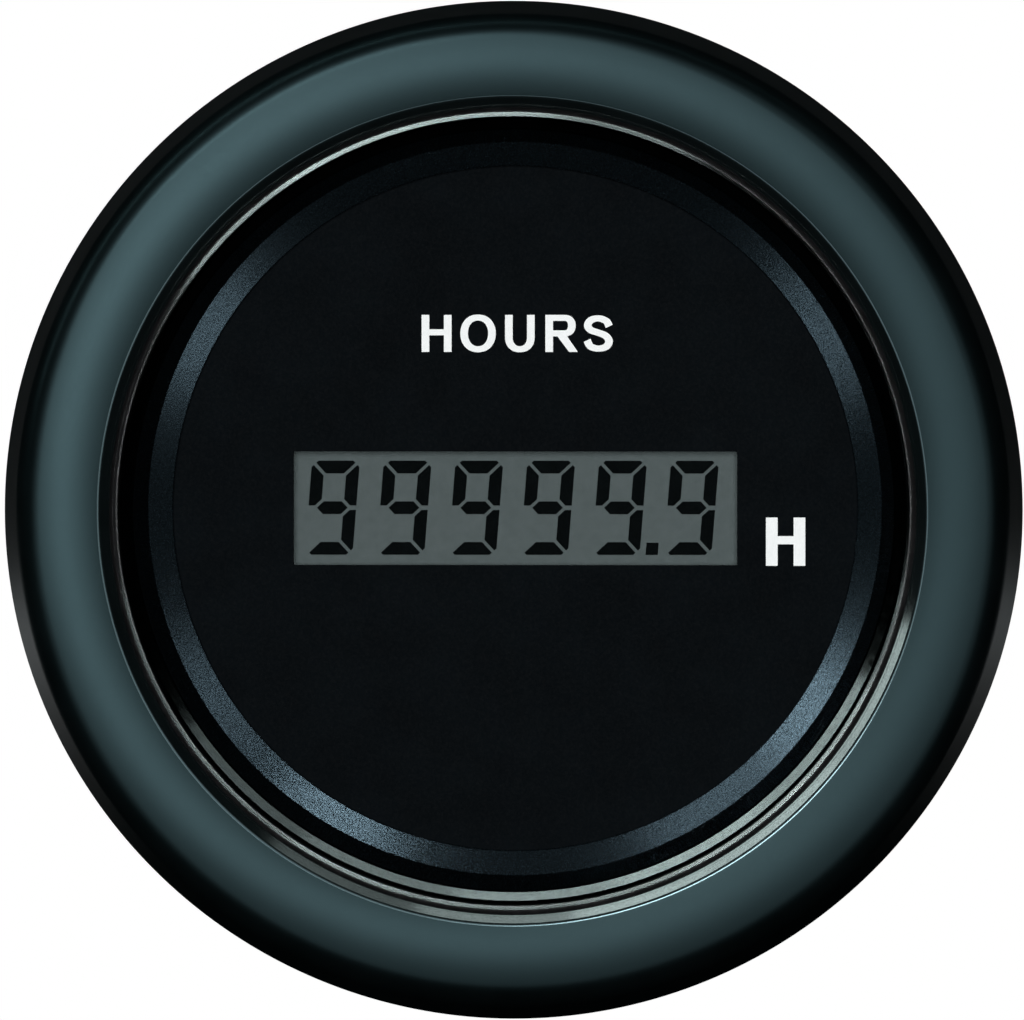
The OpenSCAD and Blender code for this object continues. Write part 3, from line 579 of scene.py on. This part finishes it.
def block(low, high):
    verts = [(x * MM, y * MM, z * MM) for x in (low[0], high[0]) for y in (low[1], high[1])
             for z in (low[2], high[2])]
    return verts, [(0, 1, 3, 2), (4, 6, 7, 5), (0, 4, 5, 1), (2, 3, 7, 6), (0, 2, 6, 4),
                   (1, 5, 7, 3)]


def joined(name, shells, limit, bevel=0.0):
    """One mesh of several closed shells."""
    verts, faces = [], []
    for points, polygons in shells:
        faces += [tuple(len(verts) + i for i in polygon) for polygon in polygons]
        verts += points
    return solid(name, verts, faces, limit, bevel)


STUD_X, COLLAR_R, HEAD_R = 16, 2.5, 3.6
HEAD_FROM, COLLAR_FROM, CORE_FROM, THREAD_FROM = 24.8, 26.0, 26.2, 30.0
stud_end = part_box("mounting_studs")[1][1] / MM
shells = []
for x in (-STUD_X, STUD_X):
    shells.append(threaded(x, CORE_FROM, THREAD_FROM, stud_end))
    shells.append(disc(x, COLLAR_R, COLLAR_FROM, THREAD_FROM))
    shells.append(disc(x, HEAD_R, HEAD_FROM, COLLAR_FROM))
stud_threads = finished("stud_threads", joined("stud_threads", shells, 50), STEEL,
                        instead_of="mounting_studs")


# Polarity marks, raised on the case's back beside the supply blades

MARK_Z, MARK_LOW, MARK_HIGH, BLADE_X = -18.6, 27.95, 28.25, 6.5
HALF_LENGTH, HALF_WIDTH, ARM_FROM = 1.1, 0.22, 0.24
marks = [block((x - HALF_LENGTH, MARK_LOW, MARK_Z - HALF_WIDTH),
               (x + HALF_LENGTH, MARK_HIGH, MARK_Z + HALF_WIDTH)) for x in (BLADE_X, -BLADE_X)]
marks += [block((BLADE_X - HALF_WIDTH, MARK_LOW, MARK_Z + low),
                (BLADE_X + HALF_WIDTH, MARK_HIGH, MARK_Z + high))
          for low, high in ((ARM_FROM, HALF_LENGTH), (-HALF_LENGTH, -ARM_FROM))]
polarity_marks = finished("polarity_marks", joined("polarity_marks", marks, 40, 0.06 * MM), CASE)


# Camera at the photograph's angle

def aim(obj, position, x_axis, z_axis):
    z = Vector(z_axis).normalized()
    y = z.cross(Vector(x_axis).normalized()).normalized()
    turn = Matrix((y.cross(z), y, z)).transposed().to_4x4()
    obj.matrix_world = Matrix.Translation(position) @ turn


AZIMUTH, ELEVATION, DISTANCE = math.radians(1.5), math.radians(1.5), 0.5
FRAME_WIDTH, SENSOR, PICTURE_WIDTH = 62.36 * MM, 36, 1024
camera = bpy.data.cameras.new("camera")
camera.sensor_width = SENSOR
camera.lens = SENSOR * DISTANCE / FRAME_WIDTH
camera.shift_x, camera.shift_y = -1.0 / PICTURE_WIDTH, 0.5 / PICTURE_WIDTH
camera.clip_start, camera.clip_end = 0.01, 20
eye = bpy.data.objects.new("camera", camera)
scene.collection.objects.link(eye)
away = Vector((math.sin(AZIMUTH) * math.cos(ELEVATION), -math.cos(AZIMUTH) * math.cos(ELEVATION),
               math.sin(ELEVATION)))
aim(eye, Vector((0, -0.0026, 0)) + away * DISTANCE, (math.cos(AZIMUTH), math.sin(AZIMUTH), 0), away)
bpy.context.view_layer.update()
scene.camera = eye


# Lamps

def softbox(name, target, way, across, deep, radiance, distance=0.7):
    """An area lamp that faces a point from the given way, with its long side across that way."""
    lamp = bpy.data.lights.new(name, "AREA")
    lamp.shape = "RECTANGLE"
    lamp.size, lamp.size_y = across, deep
    lamp.energy = radiance * math.pi * across * deep
    obj = bpy.data.objects.new(name, lamp)
    scene.collection.objects.link(obj)
    obj.visible_camera = False
    aim(obj, target + way * distance, (-way[2], 0, way[0]), way)
    return obj


def off_axis(turn, tilt):
    """A way tilted from the face's axis towards turn, in degrees."""
    turn, tilt = math.radians(turn), math.radians(tilt)
    return Vector((math.cos(turn) * math.sin(tilt), -math.cos(tilt),
                   math.sin(turn) * math.sin(tilt)))


def strips(name, ring_of_face, across, deep, radiances, distance=0.7):
    """Lamps where the camera sees them mirrored in a ring of the face, one at each turn."""
    radius, level, tilt = ring_of_face
    lamps = []
    for turn, radiance in radiances:
        point = off_axis(turn, 90) * radius * MM + Vector((0, -level * MM, 0))
        normal = off_axis(turn, tilt)
        view = (eye.location - point).normalized()
        way = 2 * normal.dot(view) * normal - view
        lamps.append(softbox(f"{name}_{turn}", point, way, across, deep, radiance, distance))
    return lamps


def lights(lamps, pieces, state):
    """Keeps lamps to some pieces (INCLUDE) or off them (EXCLUDE)."""
    group = bpy.data.collections.new(lamps[0].name + "_pieces")
    for piece in pieces:
        group.objects.link(piece)
    for item in group.collection_objects:
        item.light_linking.link_state = state
    for lamp in lamps:
        lamp.light_linking.receiver_collection = group


# A frontal box, which the clear and the glossy pieces of the face don't mirror
ORIGIN = Vector()
front_box = softbox("front", ORIGIN, off_axis(90, 4.5), 0.28, 0.27, 23)
lights([front_box], (bezel, lens, throat, nodes["display_front_polarizer"],
                     nodes["display_front_glass"]), "EXCLUDE")
# Boxes for the bezel alone, of which the fill lights only the left
bezel_fill = softbox("bezel_fill", Vector((-0.025, 0, 0.01)), off_axis(158, 4), 0.06, 0.06, 0.2,
                     0.25)
bezel_fill.data.spread = math.radians(24)
lights([
    softbox("bezel_front", ORIGIN, off_axis(90, 4.0), 0.22, 0.2, 4.1),
    softbox("bezel_surround", ORIGIN, off_axis(90, 2), 0.7, 0.7, 0.75, 0.5),
    bezel_fill,
    softbox("bezel_upper", ORIGIN, off_axis(126, 22.5), 0.22, 0.1, 13, 0.6),
], (bezel,), "INCLUDE")
# Strips for the lens's bevel, the throat's step, the lip's inside and the satin ring. Each ring is
# a radius and a level in mm and a tilt in degrees, and each strip is a turn and a radiance.
BEVEL_RING, STEP_RING = (24.1, 4.84, 18.9), (23.55, 2.5, -18.8)
LIP_RING, SATIN_RING = (24.7, 4.73, -38), (21.8, -1.5, -28.9)
STRIP_COLOUR = (0.8, 1.0, 0.98)
bevel_strips = strips("bevel", BEVEL_RING, 0.172, 0.07, ((74, 5), (94, 13), (114, 17), (133, 9)))
bevel_strips += strips("bevel", BEVEL_RING, 0.065, 0.02, (
    (202, 2.5), (223, 5), (245, 10), (266, 7), (287, 7), (306, 13), (324, 11), (340, 3)), 0.25)
step_strips = strips("step", STEP_RING, 0.16, 0.05, (
    (226, 1.2), (250, 2.5), (274, 4.5), (298, 6.5), (322, 4.5)))
lip_strips = strips("lip", LIP_RING, 0.25, 0.035, (
    (245, 0.7), (267, 2), (289, 4.2), (311, 4.2), (333, 3.5)))
ring_strips = strips("ring", SATIN_RING, 0.085, 0.035, (
    (30, 2.2), (150, 2.6), (212, 1.8), (240, 6), (302, 2.7), (325, 6.5)), 0.35)
for lamps, piece in ((bevel_strips, lens), (step_strips, throat), (lip_strips, bezel),
                     (ring_strips, ring)):
    lights(lamps, (piece,), "INCLUDE")
for lamp in bevel_strips + step_strips + lip_strips:
    lamp.data.color = STRIP_COLOUR
# Boxes behind, beside and above for the pieces behind the panel
BEHIND = ("panel_gasket", "case", "terminal_lighting", "terminal_negative", "terminal_positive",
          "mounting_bracket", "lock_washers", "thumb_nut_left", "thumb_nut_right")
lights([softbox(name, ORIGIN, off_axis(*way), *size, radiance, distance)
        for name, way, size, radiance, distance in (
            ("rear_right", (50, 150), (0.5, 0.5), 2.2, 0.8),
            ("rear_left", (140, 150), (0.5, 0.5), 1.8, 0.8),
            ("side_right", (10, 100), (0.9, 0.7), 1.6, 0.9),
            ("side_left", (170, 100), (0.9, 0.7), 1.4, 0.9),
            ("above", (90, 100), (0.9, 0.7), 1.6, 0.9),
            ("beside_right", (8, 50), (0.7, 0.6), 1.2, 0.9),
            ("beside_left", (172, 50), (0.7, 0.6), 1.2, 0.9))],
       [nodes[name] for name in BEHIND] + [stud_threads, polarity_marks], "INCLUDE")

world = bpy.data.worlds.new("studio")
scene.world = world
world.use_nodes = True
background = world.node_tree.nodes["Background"]
background.inputs["Color"].default_value = (1, 1, 1, 1)
background.inputs["Strength"].default_value = 1.0


# Floor and flags

def staged(name, mesh, material):
    mesh.materials.append(material)
    obj = bpy.data.objects.new(name, mesh)
    scene.collection.objects.link(obj)
    return obj


def sheet(name, left, right, near, far):
    mesh = bpy.data.meshes.new(name)
    mesh.from_pydata([(left, near, 0), (right, near, 0), (right, far, 0), (left, far, 0)], [],
                     [(0, 1, 2, 3)])
    return mesh


def floor_material():
    """Pale floor that keeps the shadow near the object and is white further off."""
    material, tree, output = new_material("floor_pale")
    matt = tree.nodes.new("ShaderNodeBsdfDiffuse")
    matt.inputs["Color"].default_value = (0.82, 0.82, 0.82, 1)
    glow = tree.nodes.new("ShaderNodeEmission")
    glow.inputs["Strength"].default_value = 1.0
    coords = tree.nodes.new("ShaderNodeTexCoord")
    length = tree.nodes.new("ShaderNodeVectorMath")
    length.operation = "LENGTH"
    tree.links.new(coords.outputs["Object"], length.inputs[0])
    far = spread(tree, length.outputs["Value"], 0, 1, 0.1, 0.19)
    path = tree.nodes.new("ShaderNodeLightPath")
    seen = path.outputs["Is Camera Ray"]
    for other in ("Is Glossy Ray", "Is Transmission Ray"):
        seen = maths(tree, "MAXIMUM", seen, path.outputs[other])
    two_shaders(tree, output, maths(tree, "MULTIPLY", seen, far), matt, glow)
    return material


FLOOR_Z, TENT_R, TENT_OPENING = -0.2, 1.3, -1.02
floor = staged("floor", sheet("floor", -4, 4, -4, 4), floor_material())
floor.location = (0, 0.02, FLOOR_Z)
# Black flags that keep the room out of the face's reflections
dome = bmesh.new()
bmesh.ops.create_uvsphere(dome, u_segments=48, v_segments=24, radius=TENT_R)
opening = [face for face in dome.faces if face.calc_center_median()[2] < TENT_OPENING]
bmesh.ops.delete(dome, geom=opening, context="FACES")
dome.transform(Matrix.Rotation(math.pi / 2, 4, "X"))
tent_mesh = bpy.data.meshes.new("flag_tent")
dome.to_mesh(tent_mesh)
dome.free()
tent = staged("flag_tent", tent_mesh, FLAG)
tent.visible_camera = False
low = staged("flag_low", sheet("flag_low", -1.3, 1.3, -1.35, 0.45), FLAG)
low.location = (0, 0, FLOOR_Z + 0.002)
low.visible_camera = False
low.visible_shadow = False

scene.view_settings.view_transform = "Standard"
scene.cycles.transparent_max_bounces = 32

bpy.context.view_layer.update()
